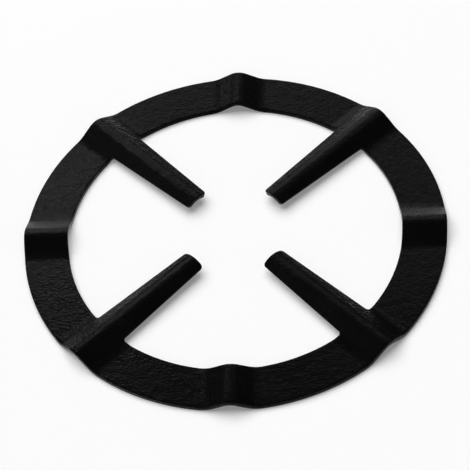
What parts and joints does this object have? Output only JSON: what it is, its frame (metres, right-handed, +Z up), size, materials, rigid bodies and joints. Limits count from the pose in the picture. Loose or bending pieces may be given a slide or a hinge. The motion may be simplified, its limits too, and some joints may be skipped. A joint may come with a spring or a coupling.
{
  "type": "gas hob reducer ring",
  "caption": "Flat black enamelled steel ring with pressed radial ridges and tapered inward fingers, laid on a gas hob's pan support to carry a small pot.",
  "frame": {"origin": "centre of the ring on the plane its flats rest on", "axes": "+Z up, out of the side that carries the pot; plain ridges along X and Y, fingers on the diagonals"},
  "size_m": [0.14, 0.14, 0.005],
  "materials": {
    "black_enamel": "semi-matt black heat-resistant enamel on pressed sheet steel"
  },
  "bodies": {
    "root": {"reducer_ring": "black_enamel"}
  },
  "joints": []
}
